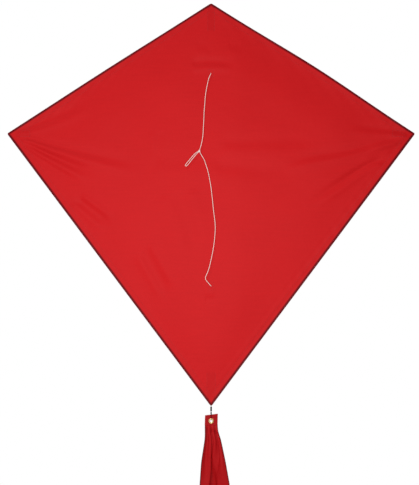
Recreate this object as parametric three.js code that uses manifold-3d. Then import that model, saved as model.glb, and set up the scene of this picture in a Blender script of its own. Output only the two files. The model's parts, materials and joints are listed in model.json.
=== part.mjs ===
// A single-line diamond kite, seen from the front along +Y: nose up (+Z), right wing on +X.
// The origin is where the spine and the spreader cross, on the flat back face of the centre fitting.
// The sail hangs in front of the rods. A bridle line lies on its face, and a cloth tail hangs from
// the foot on a snap swivel. All sizes are in millimetres.
import * as THREE from "three";
import { mergeVertices } from "three/addons/utils/BufferGeometryUtils.js";
import Module from "manifold-3d";

const wasm = await Module();
wasm.setup();

// Overall shape of the sail
const HALF_WIDTH = 381; // spine to wing tip, as seen from the front
const NOSE_Z = 240; // crossing to nose
const FOOT_Z = -507; // crossing to foot
const DIHEDRAL_DEG = 4; // how far each wing leans back from flat
const TIP_BLUNT = 1.5; // half width of the blunt nose and foot
const SAIL_THICKNESS = 0.5;
const CENTRE_HALF = 6; // the strip over the spine, which doesn't fold
const FOLD_GAP = 0.6; // between that strip and a wing

// Clearances
const GAP = 0.3; // between pieces that touch or slide into each other
const SAIL_STANDOFF = 0.8; // sail to the front of the centre fitting
const TAB_STANDOFF = 0.6; // sail to the swivel's eye

// Rods and the soft fittings on them
const ROD_R = 2;
const BORE_R = ROD_R + GAP; // every socket that a rod pushes into
const CAP_WALL = 0.7;
const CAP_R = BORE_R + CAP_WALL;
const CAP_LENGTH = 15;
const CAP_END = 2; // closed end of a cap
const FITTING_WALL = 1.7;
const FITTING_R = BORE_R + FITTING_WALL;
const FITTING_HEIGHT = 38;
const STUB_R = 3.3; // side bosses that the arms grow from
const PAD_WIDTH = 12;
const PAD_HEIGHT = 24;
const PAD_DEPTH = 3; // from the sleeve's back to the pad's flat face
const ARM_WALL = 0.9;
const ARM_R = BORE_R + ARM_WALL;
const ARM_LENGTH = 26;
const ARM_SOLID = 4.5; // from the hinge line to the bottom of the arm's bore
const HINGE_X = 10; // fold line of each wing

// Cloth pockets
const POCKET_WALL = 0.7;
const POCKET_BORE_R = CAP_R + GAP;
const POCKET_R = POCKET_BORE_R + POCKET_WALL;
const POCKET_SEAM = 0.8; // thickness of the flat sewn edges
const NOSE_POCKET_HALF = 7.5;
const NOSE_POCKET_LENGTH = 46;
const FOOT_POCKET_HALF = 9;
const FOOT_POCKET_LENGTH = 50;
const TIP_POCKET_HALF = 7;
const TIP_POCKET_LENGTH = 30;
const POCKET_END = 2; // closed end of a pocket

// Bridle
const CORD_R = 0.5;
const UPPER_TIE_Z = 111;
const LOWER_TIE_Z = -285;
const TIE_HOLE_R = 1.3;
const PATCH_HEIGHT = 18;
const PATCH_THICKNESS = 0.6;
const HITCH_CORD_R = 0.55;
const KNOT_AT = [-22, -16.4, -34];
const KNOT_R = 1.9;
const CORD_SIDES = 8;

// Tail tab, snap swivel and eyelet
const WIRE_R = 0.45;
const RING_R = 2.4; // swivel eye, to the middle of its wire
const TAB_THICKNESS = 1.2;
const TAB_HOLE_R = 1.1;
const TAB_HALF = 2.6;
const TAB_HOLE_RISE = 3.6; // foot of the sail up to the tab's hole
const NECK = 1; // bare wire between an eye or clasp and the barrel
const BARREL_R = 1.5;
const BARREL_WALL = 0.4;
const BARREL_LENGTH = 8.8;
const BARREL_END = 0.8; // thickness of the barrel's two ends
const BARREL_CHAMFER = 0.35;
const HEAD_HEIGHT = 0.6; // wire heads inside the barrel
const CLASP_WIDTH = 2.4;
const CLASP_SHEET = 0.8;
const CLASP_FRONT = 4.3; // the clasp's front plate, from its top
const CLASP_BACK = 2.6;
const LOOP_INSIDE = 5.4; // front leg to gate, clear
const HOOK_DROP = 12.6; // clasp's top sheet to the middle of the bend
const HOOK_RETURN = 2.6; // short back leg that the gate stands on
const HANG_CLEARANCE = 0.83; // eyelet bore over the bend's wire
const EYELET_BORE_R = 2.4;
const EYELET_WALL = 0.4;
const EYELET_FLANGE_R = 4.8;
const EYELET_SHEET = 0.6;

// Tail
const HEADER_THICKNESS = 1.2; // doubled and stitched
const STREAMER_THICKNESS = 0.6;
const HEADER_TOP_LEFT = [-11.3, 10.6]; // corners of the header, from the eyelet's centre
const HEADER_TOP_RIGHT = [12.5, 13.6];
const HEADER_HALF = 12;
const HEADER_DROP = 8;
// The streamer from its top down: drop from the eyelet, middle, and width.
const STREAMER = [
  [8.3, 0.6, 24],
  [31, 3.4, 29],
  [77, 4.4, 46],
  [118, 6.7, 56],
  [220, 8, 75],
  [360, 5, 76],
  [560, -3, 76],
  [760, -6, 76],
  [988, -3, 76],
];

// Depths, from the back of the fitting towards the front
const SPAR_Y = -(FITTING_R + PAD_DEPTH);
const SAIL_BACK_Y = SPAR_Y - FITTING_R - SAIL_STANDOFF;
const SAIL_OFFSET = SPAR_Y - SAIL_BACK_Y; // rod axis to the sail's back

const DIHEDRAL = THREE.MathUtils.degToRad(DIHEDRAL_DEG);
// Length of a wing from its fold line, so that its tip reaches HALF_WIDTH after it leans back.
const WING_LENGTH =
  (HALF_WIDTH - HINGE_X - SAIL_OFFSET * Math.sin(DIHEDRAL)) / Math.cos(DIHEDRAL);

// Heights of the edges at a distance from the spine
const leadingZ = (x) => NOSE_Z * (1 - x / HALF_WIDTH);
const trailingZ = (x) => FOOT_Z * (1 - x / HALF_WIDTH);

const finishes = {
  sail: { color: 0xc8222a, roughness: 0.6, metalness: 0 },
  pocket: { color: 0xa81c22, roughness: 0.7, metalness: 0 },
  rod: { color: 0x17181a, roughness: 0.35, metalness: 0 },
  vinyl: { color: 0x1d1d1f, roughness: 0.55, metalness: 0 },
  cord: { color: 0xf2efe8, roughness: 0.8, metalness: 0 },
  steel: { color: 0x2a2b2d, roughness: 0.3, metalness: 1 },
  brass: { color: 0xc99b45, roughness: 0.3, metalness: 1 },
  tail: { color: 0x961418, roughness: 0.6, metalness: 0 },
};

// --- helpers -------------------------------------------------------------------------------

function piece(name, geometry, finish) {
  const mesh = new THREE.Mesh(geometry, new THREE.MeshStandardMaterial(finishes[finish]));
  mesh.name = name;
  return mesh;
}

function solid(geometry) {
  const bare = geometry.index ? geometry.toNonIndexed() : geometry.clone();
  bare.deleteAttribute("normal");
  bare.deleteAttribute("uv");
  const merged = mergeVertices(bare, 1e-4);
  const mesh = new wasm.Mesh({
    numProp: 3,
    vertProperties: merged.attributes.position.array,
    triVerts: new Uint32Array(merged.index.array),
  });
  return new wasm.Manifold(mesh);
}

function geometryOf(manifold) {
  const mesh = manifold.getMesh();
  const geometry = new THREE.BufferGeometry();
  geometry.setAttribute("position", new THREE.BufferAttribute(mesh.vertProperties, 3));
  geometry.setIndex(new THREE.BufferAttribute(mesh.triVerts, 1));
  return geometry;
}

function joined(geometries) {
  return geometryOf(geometries.map(solid).reduce((whole, next) => whole.add(next)));
}

function cut(geometry, tools) {
  const whole = solid(geometry);
  return geometryOf(tools.map(solid).reduce((rest, tool) => rest.subtract(tool), whole));
}

function circle(x, y, radius, sides) {
  return Array.from({ length: sides }, (_, i) => {
    const turn = (2 * Math.PI * i) / sides;
    return new THREE.Vector2(x + radius * Math.cos(turn), y + radius * Math.sin(turn));
  });
}

// A flat plate in X and Z with its back at backY; holes are [x, z, radius].
function plate(points, backY, thickness, holes = []) {
  const shape = new THREE.Shape(points.map(([x, z]) => new THREE.Vector2(x, z)));
  for (const [x, z, r] of holes) {
    shape.holes.push(new THREE.Path(circle(x, z, r, 20)));
  }
  const made = new THREE.ExtrudeGeometry(shape, { depth: thickness, bevelEnabled: false });
  return made.rotateX(Math.PI / 2).translate(0, backY, 0);
}

function rectangle(halfWidth, low, high) {
  return [
    [-halfWidth, low],
    [halfWidth, low],
    [halfWidth, high],
    [-halfWidth, high],
  ];
}

function box(x, y, z, centre) {
  return new THREE.BoxGeometry(x, y, z).translate(...centre);
}

// A round bar standing along Z from one height to another.
function bar(radius, low, high, sides = 16) {
  const made = new THREE.CylinderGeometry(radius, radius, high - low, sides);
  return made.rotateX(Math.PI / 2).translate(0, 0, (low + high) / 2);
}

// A turned piece about Z from [radius, height] points.
function turned(profile, sides = 16) {
  const points = profile.map(([r, z]) => new THREE.Vector2(r, z));
  return new THREE.LatheGeometry(points, sides).rotateX(Math.PI / 2);
}

// A cap on the end of a rod: its closed end is at +Z, at height 0, and it opens downwards.
function rodCap() {
  return turned([
    [0, -CAP_END],
    [BORE_R, -CAP_END],
    [BORE_R, -CAP_LENGTH],
    [CAP_R, -CAP_LENGTH],
    [CAP_R, -CAP_END / 2],
    [CAP_R - CAP_END / 2, 0],
    [0, 0],
  ]);
}

// A sewn pocket that opens downwards: flat against the sail, humped over a capped rod on the Z axis.
function pocket(halfWidth, length) {
  const flat = -SAIL_OFFSET + GAP;
  const shape = new THREE.Shape();
  shape.moveTo(-halfWidth, flat);
  shape.lineTo(halfWidth, flat);
  shape.lineTo(halfWidth, flat + POCKET_SEAM);
  shape.lineTo(POCKET_R, flat + 2 * POCKET_SEAM);
  shape.lineTo(POCKET_R, 0);
  shape.absarc(0, 0, POCKET_R, 0, Math.PI, false);
  shape.lineTo(-POCKET_R, flat + 2 * POCKET_SEAM);
  shape.lineTo(-halfWidth, flat + POCKET_SEAM);
  const hump = new THREE.ExtrudeGeometry(shape, {
    depth: length,
    bevelEnabled: false,
    curveSegments: 8,
  }).translate(0, 0, -length);
  return cut(hump, [bar(POCKET_BORE_R, -length - 1, -POCKET_END)]);
}

function cord(points, radius, steps) {
  const path = new THREE.CatmullRomCurve3(points.map((p) => new THREE.Vector3(...p)));
  const section = new THREE.Shape(circle(0, 0, radius, CORD_SIDES));
  return new THREE.ExtrudeGeometry(section, { steps, bevelEnabled: false, extrudePath: path });
}

function ring(radius, wireR) {
  const profile = circle(radius, 0, wireR, CORD_SIDES).map((p) => [p.x, p.y]);
  return turned([...profile, profile[0]], 24);
}

// --- the spine and the middle of the sail ----------------------------------------------------

function sailCentre() {
  const outline = [
    [-CENTRE_HALF, leadingZ(CENTRE_HALF)],
    [-TIP_BLUNT, NOSE_Z],
    [TIP_BLUNT, NOSE_Z],
    [CENTRE_HALF, leadingZ(CENTRE_HALF)],
    [CENTRE_HALF, trailingZ(CENTRE_HALF)],
    [TIP_BLUNT, FOOT_Z],
    [-TIP_BLUNT, FOOT_Z],
    [-CENTRE_HALF, trailingZ(CENTRE_HALF)],
  ];
  const ties = [UPPER_TIE_Z, LOWER_TIE_Z].map((z) => [0, z, TIE_HOLE_R]);
  return plate(outline, SAIL_BACK_Y, SAIL_THICKNESS, ties);
}

// The pockets stop where the sail is as wide as they are.
const NOSE_POCKET_TOP = leadingZ(NOSE_POCKET_HALF) - 1;
const FOOT_POCKET_BOTTOM = trailingZ(FOOT_POCKET_HALF) + 1;
const SPINE_TOP = NOSE_POCKET_TOP - POCKET_END - GAP; // ends of the capped spine
const SPINE_BOTTOM = FOOT_POCKET_BOTTOM + POCKET_END + GAP;

function centreFitting() {
  const sleeve = bar(FITTING_R, -FITTING_HEIGHT / 2, FITTING_HEIGHT / 2, 20);
  const reach = HINGE_X - ARM_R - GAP;
  const stubs = bar(STUB_R, -reach, reach).rotateY(Math.PI / 2).translate(0, SPAR_Y, 0);
  const pad = box(PAD_WIDTH, -SPAR_Y, PAD_HEIGHT, [0, SPAR_Y / 2, 0]);
  const bore = bar(BORE_R, -FITTING_HEIGHT, FITTING_HEIGHT).translate(0, SPAR_Y, 0);
  return cut(joined([sleeve.translate(0, SPAR_Y, 0), stubs, pad]), [bore]);
}

function hitch(z) {
  return ring(BORE_R + HITCH_CORD_R, HITCH_CORD_R).translate(0, SPAR_Y, z);
}

function patch(z) {
  const outline = rectangle(CENTRE_HALF, z - PATCH_HEIGHT / 2, z + PATCH_HEIGHT / 2);
  return plate(outline, SAIL_BACK_Y + GAP + PATCH_THICKNESS, PATCH_THICKNESS, [
    [0, z, TIE_HOLE_R],
  ]);
}

function spineParts() {
  const rod = bar(ROD_R, SPINE_BOTTOM + CAP_END + GAP, SPINE_TOP - CAP_END - GAP);
  const noseCap = rodCap().translate(0, SPAR_Y, SPINE_TOP);
  const footCap = rodCap().rotateY(Math.PI).translate(0, SPAR_Y, SPINE_BOTTOM);
  const nosePocket = pocket(NOSE_POCKET_HALF, NOSE_POCKET_LENGTH);
  const footPocket = pocket(FOOT_POCKET_HALF, FOOT_POCKET_LENGTH).rotateY(Math.PI);
  return [
    piece("sail_centre", sailCentre(), "sail"),
    piece("spine_rod", rod.translate(0, SPAR_Y, 0), "rod"),
    piece("nose_cap", noseCap, "vinyl"),
    piece("foot_cap", footCap, "vinyl"),
    piece("nose_pocket", nosePocket.translate(0, SPAR_Y, NOSE_POCKET_TOP), "pocket"),
    piece("foot_pocket", footPocket.translate(0, SPAR_Y, FOOT_POCKET_BOTTOM), "pocket"),
    piece("centre_fitting", centreFitting(), "vinyl"),
    piece("upper_patch", patch(UPPER_TIE_Z), "pocket"),
    piece("lower_patch", patch(LOWER_TIE_Z), "pocket"),
    piece("upper_hitch", hitch(UPPER_TIE_Z), "cord"),
    piece("lower_hitch", hitch(LOWER_TIE_Z), "cord"),
  ];
}

// --- a wing: side is 1 for the right and -1 for the left -------------------------------------

function wing(side) {
  const name = side > 0 ? "right" : "left";
  const inner = CENTRE_HALF + FOLD_GAP;
  const sail = plate(
    [
      [side * (inner - HINGE_X), leadingZ(inner)],
      [side * WING_LENGTH, 0],
      [side * (inner - HINGE_X), trailingZ(inner)],
    ],
    -SAIL_OFFSET,
    SAIL_THICKNESS,
  );
  // The pocket's outer end is where the sail is as deep as the pocket.
  const pocketEnd = WING_LENGTH * (1 - (TIP_POCKET_HALF + 1) / NOSE_Z);
  const capEnd = pocketEnd - POCKET_END - GAP;
  const outwards = side * (Math.PI / 2);
  const rod = bar(ROD_R, ARM_SOLID + GAP, capEnd - CAP_END - GAP).rotateY(outwards);
  const cap = rodCap().translate(0, 0, capEnd).rotateY(outwards);
  const tipPocket = pocket(TIP_POCKET_HALF, TIP_POCKET_LENGTH).translate(0, 0, pocketEnd);
  const root = [];
  for (let i = 0; i <= 6; i += 1) {
    const turn = (Math.PI / 2) * (i / 6);
    root.push([ARM_R * Math.sin(turn), -ARM_R * Math.cos(turn)]);
  }
  root[0][0] = 0;
  const sleeve = [
    [ARM_R, ARM_LENGTH],
    [BORE_R, ARM_LENGTH],
    [BORE_R, ARM_SOLID],
    [0, ARM_SOLID],
  ];
  const arm = turned([...root, ...sleeve]).rotateY(outwards);
  const group = new THREE.Group();
  group.add(
    piece(name + "_sail", sail, "sail"),
    piece(name + "_spreader", rod, "rod"),
    piece(name + "_tip_cap", cap, "vinyl"),
    piece(name + "_tip_pocket", tipPocket.rotateY(outwards), "pocket"),
    piece(name + "_arm", arm, "vinyl"),
  );
  group.position.set(side * HINGE_X, SPAR_Y, 0);
  group.rotation.z = side * DIHEDRAL;
  return group;
}

// --- the bridle: two legs from the hitches to the tow knot, and the tow loop on the knot -------

const TIE_Y = SPAR_Y - BORE_R - 2 * HITCH_CORD_R - GAP; // front of a hitch

// Routes as x, y, z, from the tie or the knot outwards.
const UPPER_LEG = [
  [0, TIE_Y, UPPER_TIE_Z],
  [0, -12, UPPER_TIE_Z],
  [-0.1, -13.2, UPPER_TIE_Z - 0.1],
  [-0.5, -14.8, UPPER_TIE_Z - 1],
  [-1.2, -15.4, UPPER_TIE_Z - 2.8],
  [-2.6, -15.4, 105.2],
  [-5.2, -15.1, 98],
  [-7.1, -15, 89],
  [-8.9, -15, 80],
  [-10.8, -15, 67],
  [-11.7, -15, 54],
  [-13, -15, 39],
  [-13.6, -15, 24],
  [-14.5, -15.1, 9],
  [-15.4, -15.3, -6],
  [-17.3, -15.6, -17],
  [-19.2, -15.9, -25],
  [-21.1, -16.2, -31.8],
];
const LOWER_LEG = [
  [-20.9, -16.3, -36],
  [-19.2, -16, -39.4],
  [-16.4, -15.7, -44.2],
  [-12.6, -15.3, -51],
  [-9.5, -15, -60],
  [-6.1, -15, -71],
  [-3.3, -15, -84],
  [-0.6, -15, -99],
  [1.3, -15, -114],
  [3.2, -15, -132],
  [5, -15.1, -149],
  [7.2, -15.2, -166],
  [7.6, -15.2, -181],
  [6.5, -15.2, -196],
  [4.7, -15.3, -211],
  [2.2, -15.6, -225],
  [-0.6, -16, -238],
  [-3.4, -16.6, -250],
  [-6.8, -17, -260],
  [-9.6, -17.2, -266.4],
  [-10.6, -17.2, -270.4],
  [-8.9, -17, -274.6],
  [-5.2, -16.8, -279],
  [-1.8, -16.2, -283],
  [-0.4, -14.9, -284.7],
  [-0.05, -13.3, LOWER_TIE_Z],
  [0, -12, LOWER_TIE_Z],
  [0, TIE_Y, LOWER_TIE_Z],
];
const LOOP = [
  [-23.9, -16.3, -34.9],
  [-27.2, -16.1, -36.6],
  [-34.4, -15.6, -43.3],
  [-41.2, -15.2, -51.6],
  [-46.4, -15, -57.9],
  [-47.9, -15, -60.6],
  [-46.4, -15, -62],
  [-44, -15, -60.2],
  [-38.6, -15.2, -53.6],
  [-32.4, -15.6, -45.8],
  [-26.4, -16.1, -38.8],
  [-23.5, -16.3, -36],
];

function bridle() {
  const knot = new THREE.SphereGeometry(KNOT_R, 12, 8).translate(...KNOT_AT);
  return [
    piece("upper_bridle_leg", cord(UPPER_LEG, CORD_R, 30), "cord"),
    piece("lower_bridle_leg", cord(LOWER_LEG, CORD_R, 50), "cord"),
    piece("tow_knot", knot, "cord"),
    piece("tow_loop", cord(LOOP, CORD_R, 26), "cord"),
  ];
}

// --- the snap swivel, hanging on a tab behind the foot -----------------------------------------

const LINK_Y = SAIL_BACK_Y + TAB_STANDOFF + RING_R + WIRE_R;
const TAB_HOLE_Z = FOOT_Z + TAB_HOLE_RISE;
const RING_Z = TAB_HOLE_Z - RING_R;
const BARREL_TOP = RING_Z - RING_R - WIRE_R - NECK;
const BARREL_BOTTOM = BARREL_TOP - BARREL_LENGTH;
const CLASP_TOP = BARREL_BOTTOM - NECK;
const LEG_Y = LOOP_INSIDE / 2 + WIRE_R; // wire legs, to each side of the middle
const BEND_Z = CLASP_TOP - HOOK_DROP; // centre of the bend's arc
const HOOK_LOW_Z = BEND_Z - LEG_Y;
const EYELET_Z = HOOK_LOW_Z - (EYELET_BORE_R - WIRE_R - HANG_CLEARANCE);

function tailTab() {
  const shape = new THREE.Shape();
  const top = FOOT_POCKET_BOTTOM - GAP;
  shape.moveTo(TAB_HALF, top);
  shape.lineTo(-TAB_HALF, top);
  shape.absarc(0, TAB_HOLE_Z, TAB_HALF, Math.PI, 2 * Math.PI, false);
  const outline = shape.extractPoints(10).shape.map((p) => [p.x, p.y]);
  const hole = [0, TAB_HOLE_Z, TAB_HOLE_R];
  return plate(outline, LINK_Y + TAB_THICKNESS / 2, TAB_THICKNESS, [hole]);
}

const NECK_HOLE_R = WIRE_R + GAP;
const CAVITY_R = BARREL_R - BARREL_WALL;
const HEAD_R = CAVITY_R - GAP;

// A neck of wire through one end of the barrel, with a head inside; outside is the neck's outer end.
function stem(outside, end) {
  const inwards = Math.sign(end - outside);
  const headNear = end + inwards * (BARREL_END + GAP);
  const headFar = headNear + inwards * HEAD_HEIGHT;
  const span = (a, b) => [Math.min(a, b), Math.max(a, b)];
  return [bar(WIRE_R, ...span(outside, headFar), 12), bar(HEAD_R, ...span(headNear, headFar), 12)];
}

function swivelEye() {
  const eye = ring(RING_R, WIRE_R).rotateY(Math.PI / 2).translate(0, 0, RING_Z);
  return joined([eye, ...stem(RING_Z - RING_R, BARREL_TOP)]).translate(0, LINK_Y, 0);
}

function swivelBarrel() {
  const rim = BARREL_R - BARREL_CHAMFER;
  const profile = [
    [NECK_HOLE_R, BARREL_BOTTOM],
    [rim, BARREL_BOTTOM],
    [BARREL_R, BARREL_BOTTOM + NECK],
    [BARREL_R, BARREL_TOP - NECK],
    [rim, BARREL_TOP],
    [NECK_HOLE_R, BARREL_TOP],
    [NECK_HOLE_R, BARREL_TOP - BARREL_END],
    [CAVITY_R, BARREL_TOP - BARREL_END],
    [CAVITY_R, BARREL_BOTTOM + BARREL_END],
    [NECK_HOLE_R, BARREL_BOTTOM + BARREL_END],
  ];
  profile.push(profile[0]);
  return turned(profile).translate(0, LINK_Y, 0);
}

function snapHook() {
  const depth = 2 * (LEG_Y + WIRE_R);
  const sheetMiddle = depth / 2 - CLASP_SHEET / 2;
  const sheet = (drop, y) =>
    box(CLASP_WIDTH, CLASP_SHEET, drop, [0, y, CLASP_TOP - drop / 2]);
  const top = box(CLASP_WIDTH, depth, CLASP_SHEET, [0, 0, CLASP_TOP - CLASP_SHEET / 2]);
  const route = [
    [0, -LEG_Y, CLASP_TOP - CLASP_FRONT + 1],
    [0, -LEG_Y, (CLASP_TOP + BEND_Z) / 2],
  ];
  for (let i = 0; i <= 10; i += 1) {
    const turn = Math.PI * (i / 10);
    route.push([0, -LEG_Y * Math.cos(turn), BEND_Z - LEG_Y * Math.sin(turn)]);
  }
  route.push([0, LEG_Y, BEND_Z + HOOK_RETURN]);
  return joined([
    ...stem(CLASP_TOP - CLASP_SHEET / 2, BARREL_BOTTOM),
    top,
    sheet(CLASP_FRONT, -sheetMiddle),
    sheet(CLASP_BACK, sheetMiddle),
    cord(route, WIRE_R, 40),
  ]).translate(0, LINK_Y, 0);
}

function snapGate() {
  const low = BEND_Z + HOOK_RETURN + 2 * GAP;
  const high = CLASP_TOP - CLASP_BACK - GAP;
  return bar(WIRE_R, low, high, 12).translate(0, LINK_Y + LEG_Y, 0);
}

// --- the tail ------------------------------------------------------------------------------------

function tailHeader() {
  const outline = [
    [HEADER_TOP_LEFT[0], EYELET_Z + HEADER_TOP_LEFT[1]],
    [-HEADER_HALF, EYELET_Z - HEADER_DROP],
    [HEADER_HALF, EYELET_Z - HEADER_DROP],
    [HEADER_TOP_RIGHT[0], EYELET_Z + HEADER_TOP_RIGHT[1]],
  ];
  const hole = [0, EYELET_Z, EYELET_BORE_R + EYELET_WALL + GAP];
  return plate(outline, LINK_Y + HEADER_THICKNESS / 2, HEADER_THICKNESS, [hole]);
}

function tailStreamer() {
  const edge = (side) =>
    STREAMER.map(([drop, middle, width]) => [middle + (side * width) / 2, EYELET_Z - drop]);
  const outline = [...edge(-1), ...edge(1).reverse()];
  return plate(outline, LINK_Y + STREAMER_THICKNESS / 2, STREAMER_THICKNESS);
}

// Eyelet and washer are turned about the tail's own normal, with the flange to the front.
const FLANGE_BACK = HEADER_THICKNESS / 2 + GAP;
const FLANGE_FRONT = FLANGE_BACK + EYELET_SHEET;

function tailEyelet() {
  const profile = [
    [EYELET_BORE_R, -FLANGE_FRONT],
    [EYELET_BORE_R + EYELET_WALL, -FLANGE_FRONT],
    [EYELET_BORE_R + EYELET_WALL, FLANGE_BACK],
    [EYELET_FLANGE_R, FLANGE_BACK],
    [EYELET_FLANGE_R, FLANGE_FRONT],
    [EYELET_BORE_R, FLANGE_FRONT],
  ];
  profile.push(profile[0]);
  return turned(profile, 24).rotateX(Math.PI / 2).translate(0, LINK_Y, EYELET_Z);
}

function eyeletWasher() {
  const inner = EYELET_BORE_R + EYELET_WALL + GAP;
  const profile = [
    [inner, -FLANGE_FRONT],
    [EYELET_FLANGE_R, -FLANGE_FRONT],
    [EYELET_FLANGE_R, -FLANGE_BACK],
    [inner, -FLANGE_BACK],
  ];
  profile.push(profile[0]);
  return turned(profile, 24).rotateX(Math.PI / 2).translate(0, LINK_Y, EYELET_Z);
}

const kite = new THREE.Group();
kite.add(...spineParts(), wing(1), wing(-1), ...bridle());
kite.add(
  piece("tail_tab", tailTab(), "pocket"),
  piece("swivel_eye", swivelEye(), "steel"),
  piece("swivel_barrel", swivelBarrel(), "steel"),
  piece("snap_hook", snapHook(), "steel"),
  piece("snap_gate", snapGate(), "steel"),
  piece("tail_header", tailHeader(), "tail"),
  piece("tail_streamer", tailStreamer(), "tail"),
  piece("tail_eyelet", tailEyelet(), "brass"),
  piece("eyelet_washer", eyeletWasher(), "brass"),
);

export default kite;
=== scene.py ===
import json
import math
from functools import partial

import bmesh
import bpy
import numpy as np
from mathutils import Matrix, Vector


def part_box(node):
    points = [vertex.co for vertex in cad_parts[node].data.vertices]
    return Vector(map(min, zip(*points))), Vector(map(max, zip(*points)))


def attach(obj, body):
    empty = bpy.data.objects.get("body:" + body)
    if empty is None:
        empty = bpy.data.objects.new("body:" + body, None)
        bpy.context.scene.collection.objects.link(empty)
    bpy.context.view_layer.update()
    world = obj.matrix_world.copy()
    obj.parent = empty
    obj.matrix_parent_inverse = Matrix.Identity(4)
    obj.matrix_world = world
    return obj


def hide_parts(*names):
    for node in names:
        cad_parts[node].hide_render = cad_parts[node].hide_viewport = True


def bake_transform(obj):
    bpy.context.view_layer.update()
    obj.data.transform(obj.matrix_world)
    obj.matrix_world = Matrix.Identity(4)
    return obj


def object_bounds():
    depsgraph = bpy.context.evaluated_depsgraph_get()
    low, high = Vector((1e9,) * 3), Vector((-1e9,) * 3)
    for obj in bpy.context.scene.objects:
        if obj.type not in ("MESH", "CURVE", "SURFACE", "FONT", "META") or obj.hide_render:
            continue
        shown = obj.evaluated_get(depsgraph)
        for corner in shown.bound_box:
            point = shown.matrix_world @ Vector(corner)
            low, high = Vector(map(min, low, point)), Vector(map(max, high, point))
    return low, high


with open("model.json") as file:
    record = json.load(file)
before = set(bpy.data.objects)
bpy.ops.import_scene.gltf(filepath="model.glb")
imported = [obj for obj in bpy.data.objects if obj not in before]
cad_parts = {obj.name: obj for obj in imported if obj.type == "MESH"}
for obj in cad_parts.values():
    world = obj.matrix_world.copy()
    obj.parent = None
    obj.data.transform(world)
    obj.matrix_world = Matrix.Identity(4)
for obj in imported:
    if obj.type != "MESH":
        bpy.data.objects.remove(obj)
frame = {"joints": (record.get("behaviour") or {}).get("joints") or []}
cad_low, cad_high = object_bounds()

MM = 0.001  # shapes are worked out in millimetres, and pieces are made in metres


def box_mm(node):
    low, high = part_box(node)
    return low / MM, high / MM


def joint_mm(name):
    joint = next(j for j in frame["joints"] if j["name"] == name)
    return Vector(joint["pos_m"]) / MM


def at(x, y, z):
    return Matrix.Translation((x, y, z))


def turns(steps, first=0.0, last=2 * math.pi):
    """Angles at even steps, both ends included."""
    return [first + (last - first) * i / steps for i in range(steps + 1)]


def smoothstep(value):
    held = np.clip(value, 0, 1)
    return held * held * (3 - 2 * held)


# --- sizes, from the frame where it holds them -------------------------------------------------

CENTRE_LOW, CENTRE_HIGH = box_mm("sail_centre")
NOSE_Z = CENTRE_HIGH.z
FOOT_Z = CENTRE_LOW.z
CLOTH_Y = (CENTRE_LOW.y + CENTRE_HIGH.y) / 2
TIP_X = box_mm("right_sail")[1].x
HINGE = joint_mm("right_wing_fold")
SPAR_Y = HINGE.y
ROD_R = 2.0
SPREADER_LOW, SPREADER_HIGH = box_mm("right_spreader")
SPREADER_SIZE = SPREADER_HIGH - SPREADER_LOW
DIHEDRAL = math.atan((SPREADER_SIZE.y - 2 * ROD_R) / SPREADER_SIZE.x)

CLOTH = 0.25  # thickness that the cloth is drawn with
HEM = 14.0  # width of the folded hem
STITCH_IN = 12.5  # edge of the sail to the stitching
STITCH_PITCH = 3.4
THREAD_R = 0.22

# --- camera, lights and floor ------------------------------------------------------------------

VIEW_DISTANCE = 3.4
VIEW_HEIGHT = 0.902  # height of the view at the sail
VIEW_DROP = 0.444  # nose to the middle of the view
VIEW_SIDE = -0.003
SENSOR = 36.0
FLOOR_GAP = 0.05


def camera():
    data = bpy.data.cameras.new("camera")
    data.sensor_width = SENSOR
    data.lens = SENSOR * (VIEW_DISTANCE + CLOTH_Y * MM) / VIEW_HEIGHT
    data.clip_end = 50
    eye = bpy.data.objects.new("camera", data)
    eye.location = (VIEW_SIDE, -VIEW_DISTANCE, NOSE_Z * MM - VIEW_DROP)
    eye.rotation_euler = (math.pi / 2, 0, 0)
    bpy.context.collection.objects.link(eye)
    bpy.context.scene.camera = eye


def softbox(name, place, target, width, height, power):
    data = bpy.data.lights.new(name, "AREA")
    data.shape = "RECTANGLE"
    data.size = width
    data.size_y = height
    data.energy = power
    lamp = bpy.data.objects.new(name, data)
    lamp.location = place
    aim = Vector(target) - Vector(place)
    lamp.rotation_euler = aim.to_track_quat("-Z", "Y").to_euler()
    lamp.visible_camera = False
    bpy.context.collection.objects.link(lamp)


def node(tree, kind, inputs=None, **settings):
    """Adds a node with its settings. An input is given a value, an sRGB hex colour, another node's
    output, or another node, which stands for its first output."""
    made = tree.nodes.new("ShaderNode" + kind)
    for name, value in settings.items():
        setattr(made, name, value)
    for name, value in (inputs or {}).items():
        if isinstance(value, bpy.types.Node):
            value = value.outputs[0]
        if isinstance(value, bpy.types.NodeSocket):
            tree.links.new(value, made.inputs[name])
        else:
            made.inputs[name].default_value = linear(value) if isinstance(value, str) else value
    return made


def linear(hex_colour):
    """An sRGB hex colour as linear red, green, blue and alpha."""
    channels = [int(hex_colour[i : i + 2], 16) / 255 for i in (0, 2, 4)]
    return [c / 12.92 if c <= 0.04045 else ((c + 0.055) / 1.055) ** 2.4 for c in channels] + [1]


def studio():
    scene = bpy.context.scene
    scene.view_settings.view_transform = "Standard"
    scene.world = bpy.data.worlds.new("studio")
    scene.world.use_nodes = True
    tree = scene.world.node_tree
    tree.nodes.clear()
    # The backdrop is white to the eye, and lights the kite only a little.
    seen = node(tree, "Background", {"Color": "FFFFFF", "Strength": 1.0})
    felt = node(tree, "Background", {"Color": "FFFFFF", "Strength": 0.22})
    looked_at = node(tree, "LightPath").outputs["Is Camera Ray"]
    mix = node(tree, "MixShader", {0: looked_at, 1: felt, 2: seen})
    node(tree, "OutputWorld", {"Surface": mix})
    softbox("overhead", (-1.6, -2.4, 3.0), (0, 0, -0.1), 1.0, 1.0, 56)
    softbox("front", (-0.1, -0.95, -0.22), (-0.1, 0, -0.22), 1.1, 0.3, 7.5)
    softbox("back", (-1.2, 2.6, 1.6), (0, 0, -0.3), 1.6, 1.6, 72)


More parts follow.
